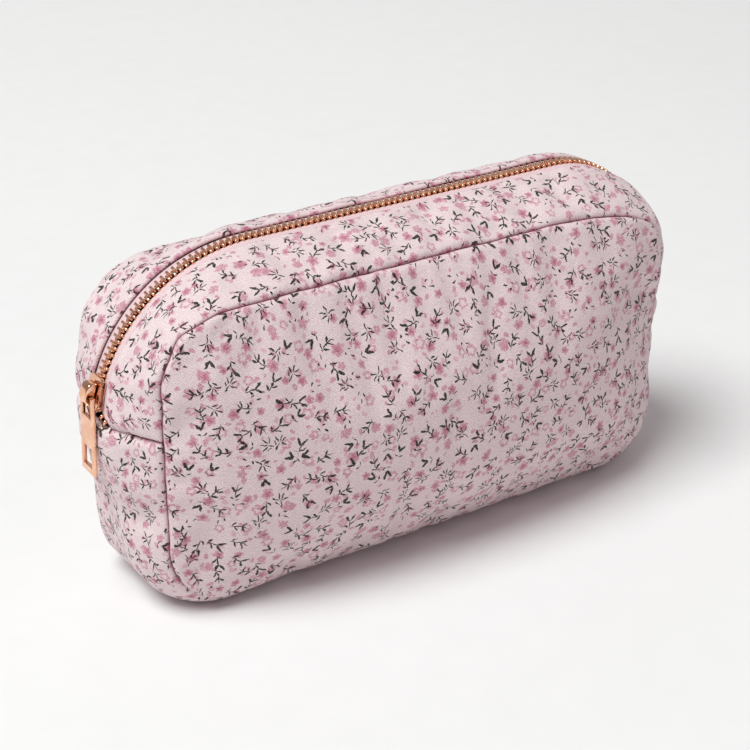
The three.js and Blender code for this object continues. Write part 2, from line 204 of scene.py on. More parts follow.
def panel_rise(x, z):
    """How far a panel stands proud of its seam at a point, from its crown down to 0 at the seam."""
    loop = outline_points(SEAM, np.linspace(-HALF_LOOP, HALF_LOOP, 1500, endpoint=False))
    loop = loop - [0, CROWN_HEIGHT]
    loop_angle = np.arctan2(loop[:, 1], loop[:, 0])
    order = np.argsort(loop_angle)
    angle = np.arctan2(z - CROWN_HEIGHT, x)
    edge = np.interp(angle, loop_angle[order], np.hypot(*loop.T)[order], period=2 * math.pi)
    height = np.where(z > CROWN_HEIGHT, SEAM_TOP - CROWN_HEIGHT, CROWN_HEIGHT - SEAM_BOTTOM)
    ellipse = 1 / np.hypot(np.cos(angle) / SEAM_HALF_LENGTH, np.sin(angle) / height)
    target = np.hypot(x, z - CROWN_HEIGHT) / edge
    low, high = np.zeros_like(target), np.ones_like(target)
    for _ in range(30):
        ring = (low + high) / 2
        reached = ellipse / edge * ring * (1 - ring ** 2) + ring ** 3
        low = np.where(reached < target, ring, low)
        high = np.where(reached < target, high, ring)
    return PANEL_CROWN * (1 - ring ** PANEL_CROWN_POWER)


def parting(station):
    """How far each zip row has parted: a little round the slider's post, then widely to the end."""
    along = -np.asarray(station, float)
    at_post = smoothstep(along, PARTING_START, POST_STATION)
    splay = np.clip((along - POST_STATION) / (ZIP_END - POST_STATION), 0, 1) ** 2
    return PARTING_AT_POST * at_post + (PARTING_AT_END - PARTING_AT_POST) * splay


# ---- the sewn shell as one grid

# The panels are grids of COLUMNS by ROWS cells, and the band between them shares their edges.
COLUMNS, ROWS = 56, 29
LOOP = 2 * (COLUMNS + ROWS)
HALF_COUNT = LOOP // 2
HALF_COLUMNS = COLUMNS // 2
SIDE_ROWS, MIDDLE_ROWS = 8, 4
BAND_ROWS = 2 * SIDE_ROWS + MIDDLE_ROWS
PANEL_COUNT = (COLUMNS + 1) * (ROWS + 1)


def column_station(k):
    return np.asarray(k) * HALF_LOOP / HALF_COUNT


def panel_index(i, j):
    return i * (ROWS + 1) + j


def rim_index(k):
    """The panel vertex on the seam at column k, counted from the middle of the top."""
    k = (k + HALF_COUNT) % LOOP - HALF_COUNT
    far, right = abs(k), k >= 0
    if far <= HALF_COLUMNS:
        return panel_index(HALF_COLUMNS + k, ROWS)
    if far <= HALF_COLUMNS + ROWS:
        return panel_index(COLUMNS if right else 0, HALF_COLUMNS + ROWS - far)
    left = far - HALF_COLUMNS - ROWS
    return panel_index(COLUMNS - left if right else left, 0)


def band_index(row, k):
    if row == 0:
        return rim_index(k)
    if row == BAND_ROWS:
        return PANEL_COUNT + rim_index(k)
    return 2 * PANEL_COUNT + (row - 1) * LOOP + (k + HALF_COUNT) % LOOP


def panel_plan():
    """The (x, z) of a panel's grid: a Coons patch in the rounded seam outline."""
    i, j = np.meshgrid(np.arange(COLUMNS + 1), np.arange(ROWS + 1), indexing="ij")
    a, b = (i / COLUMNS)[..., None], (j / ROWS)[..., None]
    left_k = np.arange(ROWS + 1) - HALF_COLUMNS - ROWS
    top = outline_points(SEAM, column_station(np.arange(COLUMNS + 1) - HALF_COLUMNS))
    under = np.arange(COLUMNS + 1)
    bottom_k = np.where(
        under <= HALF_COLUMNS,
        -HALF_COLUMNS - ROWS - under,
        HALF_COLUMNS + ROWS + COLUMNS - under,
    )
    bottom = outline_points(SEAM, column_station(bottom_k))
    left = outline_points(SEAM, column_station(left_k))
    right = left * [-1, 1]
    corners = (
        (1 - a) * (1 - b) * left[0] + a * (1 - b) * right[0]
        + (1 - a) * b * left[-1] + a * b * right[-1]
    )
    plan = (1 - a) * left[None] + a * right[None]
    plan = plan + (1 - b) * bottom[:, None] + b * top[:, None] - corners
    return plan.reshape(-1, 2)


def fold_distance(k):
    """Distance of the zip-side folds from the middle: it evens out again beyond the zip's end."""
    k = np.asarray(k)
    beyond = smoothstep(np.abs(k), ZIP_END_COLUMN, ZIP_END_COLUMN + 10)
    at_zip = FOLD + parting(column_station(np.clip(k, -ZIP_END_COLUMN, ZIP_END_COLUMN)))
    return at_zip * (1 - beyond) + FOLD * beyond


def shell_points():
    plan = panel_plan()
    rise = panel_rise(plan[:, 0], plan[:, 1])
    front = np.column_stack([plan[:, 0], -SEAM_Y - rise, plan[:, 1]])
    back = front * [1, -1, 1]
    k = np.arange(-HALF_COUNT, HALF_COUNT)
    fold = fold_distance(k)
    rows = []
    for row in range(1, BAND_ROWS):
        if row <= SIDE_ROWS:
            y = -SEAM_Y + (SEAM_Y - fold) * row / SIDE_ROWS
        elif row < SIDE_ROWS + MIDDLE_ROWS:
            y = -fold + 2 * fold * (row - SIDE_ROWS) / MIDDLE_ROWS
        else:
            y = fold + (SEAM_Y - fold) * (row - SIDE_ROWS - MIDDLE_ROWS) / SIDE_ROWS
        rows.append(band_surface(column_station(k), y))
    return np.vstack([front, back] + rows)


def panel_faces(side, inset=0):
    """Quads of a panel grid, without the outer rings of cells if it is an inner layer."""
    start = 0 if side == "front" else PANEL_COUNT
    faces = []
    for i in range(inset, COLUMNS - inset):
        for j in range(inset, ROWS - inset):
            quad = [panel_index(i, j), panel_index(i + 1, j),
                    panel_index(i + 1, j + 1), panel_index(i, j + 1)]
            quad = [start + index for index in quad]
            faces.append(quad if side == "front" else quad[::-1])
    return faces


def band_faces(columns, rows):
    faces = []
    for k in columns:
        for row in rows:
            faces.append([band_index(row, k), band_index(row, k + 1),
                          band_index(row + 1, k + 1), band_index(row + 1, k)])
    return faces


ZIP_COLUMNS = range(-ZIP_END_COLUMN, ZIP_END_COLUMN)
GUSSET_COLUMNS = range(ZIP_END_COLUMN, LOOP - ZIP_END_COLUMN)
GUSSET_LINING_COLUMNS = range(ZIP_END_COLUMN + 1, LOOP - ZIP_END_COLUMN - 1)
GUSSET_BATTING_COLUMNS = range(ZIP_END_COLUMN + 3, LOOP - ZIP_END_COLUMN - 3)
STRIP_ROWS = {"front": range(0, SIDE_ROWS), "back": range(SIDE_ROWS + MIDDLE_ROWS, BAND_ROWS)}

def shell_print():
    """The print on the panels, flat as it was cut: (across, up) in mm for each of their vertices."""
    plan = panel_plan()
    uv = {}
    for index, (x, z) in enumerate(plan):
        uv[index] = (x, z)
        uv[PANEL_COUNT + index] = (-x, z)
    return uv


def band_print(columns, offset):
    """The print along a band piece: distance along it and across it, moved by an offset."""
    uv = {}
    for k in list(columns) + [columns[-1] + 1]:
        for row in range(BAND_ROWS + 1):
            across = (row - BAND_ROWS / 2) * 2 * (SEAM_Y + 3) / BAND_ROWS
            uv[band_index(row, k)] = (column_station(k) + offset, across + offset)
    return uv


# ---- objects

def new_object(name, mesh):
    obj = bpy.data.objects.new(name, mesh)
    bpy.context.scene.collection.objects.link(obj)
    return obj


def mesh_object(name, points, faces, uv=None):
    """An object from points in mm, faces, and the place in the print, in mm, of every point."""
    mesh = bpy.data.meshes.new(name)
    mesh.from_pydata((np.asarray(points) * MM).tolist(), [], faces)
    if uv:
        uv_layer = mesh.uv_layers.new(name="print")
        for loop in mesh.loops:
            uv_layer.data[loop.index].uv = Vector(uv[loop.vertex_index]) * MM
    return new_object(name, mesh)


def smooth(mesh):
    mesh.polygons.foreach_set("use_smooth", [True] * len(mesh.polygons))


def modify(obj, kind, **settings):
    """Adds a modifier of a kind, with its settings."""
    modifier = obj.modifiers.new(kind.lower(), kind)
    for key, value in settings.items():
        setattr(modifier, key, value)


def settled_mesh(obj):
    """Replaces an object's mesh by what its modifiers make of it."""
    depsgraph = bpy.context.evaluated_depsgraph_get()
    made = bpy.data.meshes.new_from_object(obj.evaluated_get(depsgraph))
    made.name = obj.name
    obj.modifiers.clear()
    obj.data = made
    smooth(made)


def subdivided(obj, levels):
    modify(obj, "SUBSURF", levels=levels, render_levels=levels)
    settled_mesh(obj)


# ---- pressing the shell out as cloth

CLOTH_FRAMES = 20
COTTON_CLOTH = {
    "quality": 8,
    "mass": 0.3,
    "tension_stiffness": 15,
    "compression_stiffness": 15,
    "shear_stiffness": 5,
    "bending_stiffness": 0.3,
    "vertex_group_mass": "pin",
    "shrink_min": -0.022,
    "use_pressure": True,
    "uniform_pressure_force": 4,
}
# Blender seeds noise_vector from the clock, so the script seeds it itself.
LUMP_SEED = 1794899026
LUMP_LENGTH, LUMP_HEIGHT = 14, 0.5
MOST_MOVED = 4.0


def pinned_vertices(points):
    pinned = {rim_index(k) for k in range(LOOP)}
    pinned |= {PANEL_COUNT + index for index in pinned}
    for k in range(-ZIP_END_COLUMN, ZIP_END_COLUMN + 1):
        pinned |= {band_index(SIDE_ROWS, k), band_index(SIDE_ROWS + MIDDLE_ROWS, k)}
    for k in (-ZIP_END_COLUMN, ZIP_END_COLUMN):
        pinned |= {band_index(row, k) for row in range(BAND_ROWS + 1)}
    pinned |= {int(index) for index in np.nonzero(points[:, 2] < 0.05)[0]}
    return sorted(pinned)


def pressed_out(points):
    """The shell's points after a cloth simulation: cut a little large, and filled with pressure."""
    faces = panel_faces("front") + panel_faces("back") + band_faces(GUSSET_COLUMNS, range(BAND_ROWS))
    for rows in STRIP_ROWS.values():
        faces += band_faces(ZIP_COLUMNS, rows)
    used = sorted({index for face in faces for index in face})
    place = {index: n for n, index in enumerate(used)}
    start = points[used].copy()
    noise.seed_set(LUMP_SEED)
    for n, point in enumerate(start):
        start[n] += np.array(noise.noise_vector(Vector(point) / LUMP_LENGTH)) * LUMP_HEIGHT
    pins = [index for index in pinned_vertices(points) if index in place]
    for index in pins:
        start[place[index]] = points[index]
    cloth_object = mesh_object("shell_cloth", start, [[place[i] for i in face] for face in faces])
    group = cloth_object.vertex_groups.new(name="pin")
    group.add([place[index] for index in pins], 1.0, "REPLACE")
    modifier = cloth_object.modifiers.new("cloth", "CLOTH")
    for key, value in COTTON_CLOTH.items():
        setattr(modifier.settings, key, value)
    modifier.settings.effector_weights.gravity = 0
    modifier.collision_settings.use_collision = False
    scene = bpy.context.scene
    for step in range(1, CLOTH_FRAMES + 1):
        scene.frame_set(step)
    evaluated = cloth_object.evaluated_get(bpy.context.evaluated_depsgraph_get())
    settled = np.array([v.co for v in evaluated.data.vertices]) / MM
    scene.frame_set(1)
    bpy.data.objects.remove(cloth_object)
    moved = points.copy()
    shift = settled - points[used]
    length = np.linalg.norm(shift, axis=1, keepdims=True)
    moved[used] = points[used] + shift * np.minimum(1, MOST_MOVED / np.maximum(length, 1e-6))
    moved[:, 0] = np.clip(moved[:, 0], -RIDGE_HALF_LENGTH, RIDGE_HALF_LENGTH)
    return moved


# Dents pressed into the front panel: x, z, radius and depth in mm.
FRONT_DENTS = [
    (92, 84, 11, 4.2),
    (99, 66, 16, 2.6),
    (84, 72, 20, 1.6),
    (-99, 33, 11, 1.6),
    (-60, 14, 22, 1.0),
]
# Shallow creases that run out of each dent.
DENT_RAYS, RAY_SHARE = 6, 0.2
# Dimples in the front zip strip near its right end: x, y, radius and depth.
STRIP_DENTS = [(46, -22, 9, 1.4), (66, -17, 8, 1.6), (88, -20, 9, 1.8), (102, -12, 7, 1.2)]


def dented(points):
    """The shell with its dents and dimples."""
    points = points.copy()
    x, y, z = points.T
    front = slice(0, PANEL_COUNT)
    inside = 1 - (np.abs(y[front]) - SEAM_Y < 0.01)
    for dent_x, dent_z, radius, depth in FRONT_DENTS:
        away = np.hypot(x[front] - dent_x, z[front] - dent_z)
        around = np.arctan2(z[front] - dent_z, x[front] - dent_x)
        rays = np.sin(DENT_RAYS * around + dent_x) * bell(away / radius, 1.5, 0.9)
        points[front, 1] += depth * (bell(away, 0, radius) + RAY_SHARE * rays) * inside
    band = points[:, 2] > WAIST + 30
    edge = smoothstep(SEAM_Y - np.abs(y), 0, 6)
    for dent_x, dent_y, radius, depth in STRIP_DENTS:
        away = np.hypot(x - dent_x, y - dent_y)
        points[:, 2] -= depth * bell(away, 0, radius) * edge * band
    return points


# The back of the left end has slumped in towards the base, and puffs out beside the slider.
SLUMP_DEPTH, SLUMP_TOP, SLUMP_FULL = 9.0, 80.0, 38.0
SAG_DEPTH, SAG_TOP, SAG_FULL = 6.0, 62.0, 36.0
PUFF_DEPTH, PUFF_HEIGHT, PUFF_SPREAD = 2.7, 82.0, 26.0
# The front seam dips before the right corner, and the right end leans in towards the base.
DIP_DEPTH, DIP_PLACE, DIP_SPREAD = 3.2, 92.0, 20.0
RIGHT_PUFF, RIGHT_PUFF_HEIGHT, RIGHT_PUFF_SPREAD = 2.2, 100.0, 20.0
RIGHT_TAPER, RIGHT_TAPER_HEIGHT, RIGHT_TAPER_SPREAD = 1.8, 45.0, 22.0
# Wrinkles that run out from the end of the zip over the left end of the bag.
WRINKLE_TOP, WRINKLE_DEPTH, WRINKLE_REACH, WRINKLE_COUNT = 72.0, 0.7, 18.0, 7


def slumped(points):
    """The shell as it settles: slumped, puffed out and wrinkled where nothing holds it up."""
    points = points.copy()
    x, y, z = points.T
    left = smoothstep(-x, 55, SEAM_HALF_LENGTH)
    low = smoothstep(SLUMP_TOP - z, 0, SLUMP_TOP - SLUMP_FULL) * (0.3 + 0.7 * smoothstep(z, 4, 30))
    puff = bell(z, PUFF_HEIGHT, PUFF_SPREAD) * smoothstep(y, 10, 24)
    points[:, 1] -= SLUMP_DEPTH * left * low * smoothstep(y, 12, SEAM_Y)
    points[:, 0] -= PUFF_DEPTH * left * puff
    bulge = 1 - np.clip(np.abs(y) / SEAM_Y, 0, 1) ** RIDGE_SHARPNESS
    end = smoothstep(-x, RIDGE_HALF_LENGTH - RIDGE_BOTTOM_RADIUS, SEAM_HALF_LENGTH)
    sag = smoothstep(SAG_TOP - z, 0, SAG_TOP - SAG_FULL) * smoothstep(z, 2, 26)
    points[:, 0] += SAG_DEPTH * bulge * end * sag
    front = smoothstep(-y, 12, SEAM_Y) * smoothstep(z, 80, 112)
    points[:, 2] -= DIP_DEPTH * bell(x, DIP_PLACE, DIP_SPREAD) * front
    right = smoothstep(x, 85, SEAM_HALF_LENGTH)
    points[:, 0] += RIGHT_PUFF * right * bell(z, RIGHT_PUFF_HEIGHT, RIGHT_PUFF_SPREAD)
    points[:, 0] -= RIGHT_TAPER * right * bell(z, RIGHT_TAPER_HEIGHT, RIGHT_TAPER_SPREAD)
    away = np.hypot(y, z - WRINKLE_TOP)
    around = np.arctan2(z - WRINKLE_TOP, y)
    ring = bell(away, WRINKLE_REACH, 0.7 * WRINKLE_REACH)
    under = smoothstep(WRINKLE_TOP - z, 0, 8) * smoothstep(-x, SEAM_HALF_LENGTH - 2, SEAM_HALF_LENGTH)
    points[:, 0] -= WRINKLE_DEPTH * np.sin(WRINKLE_COUNT * around) * ring * under
    return points


# ---- meshes cut from the shell

def vertex_normals(points, faces):
    quads = np.array(faces)
    corners = points[quads]
    face_normals = np.cross(corners[:, 2] - corners[:, 0], corners[:, 3] - corners[:, 1])
    normals = np.zeros_like(points)
    for corner in range(4):
        np.add.at(normals, quads[:, corner], face_normals)
    length = np.linalg.norm(normals, axis=1, keepdims=True)
    return normals / np.maximum(length, 1e-9)


def rim_edges(faces):
    """The edges that belong to one face only, each in its face's direction."""
    seen = {}
    for face in faces:
        for a, b in zip(face, face[1:] + face[:1]):
            seen[(a, b)] = True
    return [edge for edge in seen if (edge[1], edge[0]) not in seen]


def layer(name, points, normals, faces, uv, depths, crease=True, rim_depths=None):
    """A closed fabric layer between two depths below the shell. Its rim may lie at other depths,
    and is sharp unless crease is off."""
    used = sorted({index for face in faces for index in face})
    place = {index: n for n, index in enumerate(used)}
    count = len(used)
    quads = [[place[i] for i in face] for face in faces]
    rim = [(place[a], place[b]) for a, b in rim_edges(faces)]
    below = np.tile(np.array(depths, dtype=float), (count, 1))
    if rim_depths:
        below[sorted({n for edge in rim for n in edge})] = rim_depths
    outer = points[used] - normals[used] * below[:, :1]
    inner = points[used] - normals[used] * below[:, 1:]
    all_faces = quads + [[count + i for i in quad[::-1]] for quad in quads]
    all_faces += [[b, a, count + a, count + b] for a, b in rim]
    flat = [uv[index] for index in used] * 2
    obj = mesh_object(name, np.vstack([outer, inner]), all_faces, flat)
    if crease:
        rim_keys = {tuple(sorted(edge)) for edge in rim}
        rim_keys |= {tuple(sorted((count + a, count + b))) for a, b in rim}
        creases = obj.data.attributes.new("crease_edge", "FLOAT", "EDGE")
        for edge in obj.data.edges:
            creases.data[edge.index].value = float(tuple(sorted(edge.vertices)) in rim_keys)
    subdivided(obj, 1)
    return obj


def densified(line, inward, closed):
    """The smooth curve that subdivision makes of a line of points, as points set close together."""
    for _ in range(4):
        finer = []
        for values in (line, inward):
            before, after = np.roll(values, 1, 0), np.roll(values, -1, 0)
            if not closed:
                before[0], after[-1] = values[0], values[-1]
            pairs = np.stack([(before + 6 * values + after) / 8, (values + after) / 2], axis=1)
            finer.append(pairs.reshape(-1, 3))
        line, inward = finer
    return line, inward


def line_on_shell(points, normals, indices, closed=False):
    """A line of shell vertices as close-set points, with the inward direction at each."""
    inward = -sum(side_normals[indices] for side_normals in normals)
    inward /= np.linalg.norm(inward, axis=1, keepdims=True)
    return densified(points[indices], inward, closed)


class Lines:
    """Finds the nearest point of a set of lines."""

    def __init__(self, lines):
        self.points = np.vstack([line for line, _ in lines])
        self.inward = np.vstack([inward for _, inward in lines])
        self.tree = kdtree.KDTree(len(self.points))
        for n, point in enumerate(self.points):
            self.tree.insert(point, n)
        self.tree.balance()

    def nearest(self, points):
        near, away = np.zeros(len(points), int), np.zeros(len(points))
        for n, point in enumerate(points):
            _, near[n], away[n] = self.tree.find(point)
        return near, away


SEAM_SINK, SEAM_REACH = 2.3, 1.0
PUCKER_HEIGHT, PUCKER_REACH, PUCKER_LENGTH = 0.4, 6.0, 4.5
FOLD_LIFT, FOLD_WIDTH, FOLD_ROLL = 0.7, 3.2, 1.3
TOPSTITCH_FROM_FOLD, TOPSTITCH_SINK = 5.5, 0.45
CLOTH_THICKNESS = 0.8
SUPPORT_LOOP = 0.9
# How far the painted seam shade reaches from a seam, and how far a fold holds it back.
SEAM_SHADE_REACH, FOLD_SHADE_SETBACK = 0.45, 0.25


def sewn_cloth(name, points, faces, uv, seams, folds=None):
    """Outer fabric of one piece: creased in along its seams, rolled along a fold, and thickened, with
    painted shade marked along its seams and fold.
    """
    used = sorted({index for face in faces for index in face})
    place = {index: n for n, index in enumerate(used)}
    quads = [[place[i] for i in face] for face in faces]
    obj = mesh_object(name, points[used], quads, [uv[index] for index in used])
    work = bmesh.new()
    work.from_mesh(obj.data)
    bmesh.ops.inset_region(work, faces=work.faces[:], thickness=SUPPORT_LOOP * MM,
                           use_boundary=True, use_even_offset=True, use_interpolate=True)
    work.to_mesh(obj.data)
    work.free()
    subdivided(obj, 2)

    mesh = obj.data
    placed = np.array([v.co for v in mesh.vertices]) / MM
    outward = np.array([v.normal for v in mesh.vertices])
    near, away = seams.nearest(placed)
    deep = away.copy()
    phase = np.zeros(len(placed))
    for n in np.nonzero(away < 4 * PUCKER_REACH)[0]:
        spot = Vector(seams.points[near[n]])
        phase[n] = noise.noise(spot / PUCKER_LENGTH) + 0.5 * noise.noise(spot / 2.3)
    sink = SEAM_SINK * np.exp(-away / SEAM_REACH) * (1 + 0.2 * phase)
    wave = PUCKER_HEIGHT * phase * np.exp(-away / PUCKER_REACH) * (1 - np.exp(-away / 2))
    shift = seams.inward[near] * sink[:, None] + outward * wave[:, None]
    if folds:
        near, away = folds.nearest(placed)
        deep = np.minimum(deep, away + FOLD_SHADE_SETBACK)
        lift = FOLD_LIFT * bell(away, 0, FOLD_WIDTH) - FOLD_ROLL * np.exp(-away / 0.5)
        stitched = bell(away, TOPSTITCH_FROM_FOLD, 0.8)
        shift += outward * (lift - TOPSTITCH_SINK * stitched)[:, None]
    placed += shift
    placed[:, 2] = np.maximum(placed[:, 2], 0.05)
    mesh.vertices.foreach_set("co", (placed * MM).ravel())
    # Painted shade: how close each point lies to a seam or a fold, so the cotton turns a deeper rose where
    # shade falls in the groove.
    crease = mesh.attributes.new("crease", "FLOAT", "POINT")
    crease.data.foreach_set("value", bell(deep, 0, SEAM_SHADE_REACH).astype(np.float32))
    mesh.update()
    modify(obj, "SOLIDIFY", thickness=CLOTH_THICKNESS * MM, offset=-1)
    settled_mesh(obj)
    return obj


# ---- materials

class Net:
    """Builds one material's nodes. Every method returns an output socket."""

    def __init__(self, name):
        self.material = bpy.data.materials.new(name)
        self.material.use_nodes = True
        self.tree = self.material.node_tree
        self.shader = self.tree.nodes["Principled BSDF"]

    def node(self, kind, inputs=(), **settings):
        made = self.tree.nodes.new(kind)
        for key, value in settings.items():
            setattr(made, key, value)
        for key, value in dict(inputs).items():
            self.set(made.inputs[key], value)
        return made

    def set(self, socket, value):
        if isinstance(value, bpy.types.NodeSocket):
            self.tree.links.new(value, socket)
        else:
            socket.default_value = value

    def math(self, operation, *values, clamp=False):
        return self.node("ShaderNodeMath", enumerate(values), operation=operation,
                         use_clamp=clamp).outputs[0]

    def vector(self, operation, *values, output=0):
        return self.node("ShaderNodeVectorMath", enumerate(values),
                         operation=operation).outputs[output]

    def split(self, vector):
        return self.node("ShaderNodeSeparateXYZ", {0: vector}).outputs

    def combine(self, *values):
        return self.node("ShaderNodeCombineXYZ", enumerate(values)).outputs[0]

    def turned(self, vector, angle):
        return self.node("ShaderNodeVectorRotate", {"Vector": vector, "Angle": angle},
                         rotation_type="Z_AXIS").outputs[0]

    def mix(self, share, a, b):
        made = self.node("ShaderNodeMix", data_type="RGBA")
        for key, value in ((0, share), (6, a), (7, b)):
            self.set(made.inputs[key], value)
        return made.outputs[2]

    def ramp(self, value, low, high, to_low=0.0, to_high=1.0):
        inputs = {"Value": value, "From Min": low, "From Max": high,
                  "To Min": to_low, "To Max": to_high}
        return self.node("ShaderNodeMapRange", inputs,
                         interpolation_type="SMOOTHSTEP").outputs[0]

    def noise(self, vector, scale, detail=2.0):
        inputs = {"Vector": vector, "Scale": scale, "Detail": detail}
        return self.node("ShaderNodeTexNoise", inputs)

    def bump(self, height, distance, normal=None):
        inputs = {"Height": height, "Distance": distance, "Strength": 1.0}
        if normal is not None:
            inputs["Normal"] = normal
        return self.node("ShaderNodeBump", inputs).outputs[0]

    def finish(self, **values):
        for key, value in values.items():
            self.set(self.shader.inputs[key.replace("_", " ")], value)
        return self.material


def rgb(red, green, blue):
    """A colour as seen, 0 to 255, in the shader's linear terms."""
    seen = np.array([red, green, blue]) / 255
    linear = np.where(seen <= 0.04045, seen / 12.92, ((seen + 0.055) / 1.055) ** 2.4)
    return (*linear.tolist(), 1.0)


def cloth_millimetres(net):
    uv = net.node("ShaderNodeUVMap", uv_map="print").outputs[0]
    return net.vector("MULTIPLY", uv, (1000, 1000, 1000))


def scatter(net, place, spacing, loose, shift):
    """Strews motifs one to a cell: (x, y) round the nearest centre, turned at random, and two
    random numbers of that cell."""
    moved = net.vector("ADD", place, shift)
    cells = net.node(
        "ShaderNodeTexVoronoi",
        {"Vector": moved, "Scale": 1 / spacing, "Randomness": loose},
        voronoi_dimensions="2D",
    )
    chance = net.node("ShaderNodeSeparateColor", {0: cells.outputs["Color"]})
    local = net.vector("SUBTRACT", moved, cells.outputs["Position"])
    turn = net.math("MULTIPLY", chance.outputs[0], 2 * math.pi)
    return net.turned(local, turn), chance.outputs[1], chance.outputs[2]


def ellipse(net, local, centre, radii, degrees=0.0):
    """1 on the edge of an ellipse, less inside it."""
    moved = net.vector("SUBTRACT", local, (*centre, 0))
    scaled = net.vector("DIVIDE", net.turned(moved, math.radians(degrees)), (*radii, 1000))
    return net.vector("LENGTH", scaled, output=1)


def mirrored(net, local):
    x, y, _ = net.split(local)
    return net.combine(net.math("ABSOLUTE", x), y)


def bent(net, local, amount):
    x, y, _ = net.split(local)
    shift = net.math("MULTIPLY", net.math("POWER", y, 2.0), amount)
    return net.combine(net.math("SUBTRACT", x, shift), y)


def sprig(net, leaves):
    """1 on the edge of a group of leaves, less inside. Each leaf is the (x, y) that it is drawn in,
    its middle x and y, its half width and half length, and its turn in degrees."""
    whole = None
    for local, x, y, width, length, turn in leaves:
        leaf = ellipse(net, local, (x, y), (width, length), turn)
        whole = net.math("MINIMUM", whole, leaf) if whole else leaf
    return whole


def filled(net, shape, softness=0.16):
    return net.ramp(shape, 1 + softness, 1 - softness)


def blossom(net, local, petals, radius):
    """1 on the edge of a round flower with a number of petals, less inside it."""
    x, y, _ = net.split(local)
    angle = net.math("ARCTAN2", y, x)
    lobes = net.math("ABSOLUTE", net.math("COSINE", net.math("MULTIPLY", angle, petals / 2)))
    reach = net.math("MULTIPLY_ADD", net.math("POWER", lobes, 0.6), 0.42, 0.58)
    away = net.vector("LENGTH", local, output=1)
    return net.math("DIVIDE", away, net.math("MULTIPLY", reach, radius))


GROUND = rgb(234, 213, 216)
PALE_ROSE = rgb(219, 170, 184)
ROSE = rgb(203, 139, 159)
DEEP_ROSE = rgb(182, 100, 126)
# Painted shade: the deeper rose that the seams and folds turn, where shade falls in the grooves.
SEAM_SHADE_ROSE = rgb(176, 92, 118)
LEAF = rgb(30, 38, 24)
THREAD_SPACING = 0.8
PETAL_SPACING, BLOSSOM_SPACING, SPRIG_SPACING = 6.1, 7.9, 7.6
SPRIG_SIZE = 1.26


def petals(net, drawn):
    """Loose petals and buds of many sizes, as (share, tint) layers."""
    layers = []
    for shift, tint in (((3.1, 8.2, 0), PALE_ROSE), ((27.7, 61.4, 0), ROSE)):
        local, chance, size = scatter(net, drawn, PETAL_SPACING, 0.85, shift)
        grown = net.math("MULTIPLY_ADD", size, 0.6, 0.6)
        local = net.vector("DIVIDE", local, net.combine(grown, grown, 1.0))
        petal = ellipse(net, local, (0, 0), (0.75, 1.2))
        shown = net.math("GREATER_THAN", chance, 0.3)
        layers.append((net.math("MULTIPLY", filled(net, petal, 0.22), shown), tint))
    return layers


def blossoms(net, drawn):
    """Flowers, some filled with a darker heart and some only in outline."""
    local, chance, size = scatter(net, drawn, BLOSSOM_SPACING, 0.75, (11.3, 4.9, 0))
    flower = blossom(net, local, 5, net.math("MULTIPLY_ADD", size, 0.9, 1.5))
    hollow = net.math("MULTIPLY", filled(net, net.math("DIVIDE", flower, 0.55), 0.3),
                      net.math("GREATER_THAN", chance, 0.62))
    whole = net.math("SUBTRACT", filled(net, flower), hollow, clamp=True)
    heart = net.math("MULTIPLY", filled(net, net.math("DIVIDE", flower, 0.5), 0.5),
                     net.math("LESS_THAN", chance, 0.45))
    return [(whole, ROSE), (heart, DEEP_ROSE)]


def sprigs(net, drawn):
    """Leaf sprigs, one to a cell: a forked one, a bent twig, a star of leaves, a V or dashes."""
    local, chance, _ = scatter(net, drawn, SPRIG_SPACING, 0.7, (5.7, 91.3, 0))
    local = net.vector("MULTIPLY", local, (1 / SPRIG_SIZE, 1 / SPRIG_SIZE, 1))
    pair = mirrored(net, local)
    curved = bent(net, local, 0.1)
    curved_pair = mirrored(net, curved)
    fork = sprig(net, [
        (local, 0, -0.9, 0.2, 1.8, 0),
        (pair, 0.85, 1.4, 0.36, 1.25, 32),
        (local, 0.9, -0.9, 0.26, 0.9, 52),
        (local, -0.8, -1.9, 0.26, 0.75, -48),
    ])
    twig = sprig(net, [
        (curved, 0, 0, 0.17, 2.7, 0),
        (curved_pair, 0.8, 1.0, 0.28, 1.0, 48),
        (curved, 0.85, -0.9, 0.26, 0.95, 55),
        (curved, -0.8, -1.7, 0.25, 0.75, -50),
    ])
    star = sprig(net, [
        (pair, 0.5, 1.3, 0.2, 1.1, 18),
        (pair, 1.3, 0.4, 0.2, 1.0, 66),
        (local, 0.3, -1.2, 0.18, 1.3, -8),
        (local, -0.9, -0.7, 0.2, 0.8, -50),
    ])
    vee = sprig(net, [
        (pair, 0.6, 0.5, 0.4, 1.3, 30),
        (pair, 0.7, -1.7, 0.17, 0.7, 62),
    ])
    dashes = sprig(net, [
        (local, 0.7, 0.8, 0.2, 0.7, 20),
        (local, -0.9, -0.4, 0.2, 0.55, -15),
        (local, 0.5, -1.6, 0.22, 0.5, 50),
    ])
    share = 0.0
    for low, high, kind in ((0.0, 0.27, fork), (0.27, 0.5, twig), (0.5, 0.68, star),
                             (0.68, 0.84, vee), (0.84, 1.0, dashes)):
        chosen = net.math("COMPARE", chance, (low + high) / 2, (high - low) / 2)
        share = net.math("MULTIPLY_ADD", filled(net, kind), chosen, share)
    return share


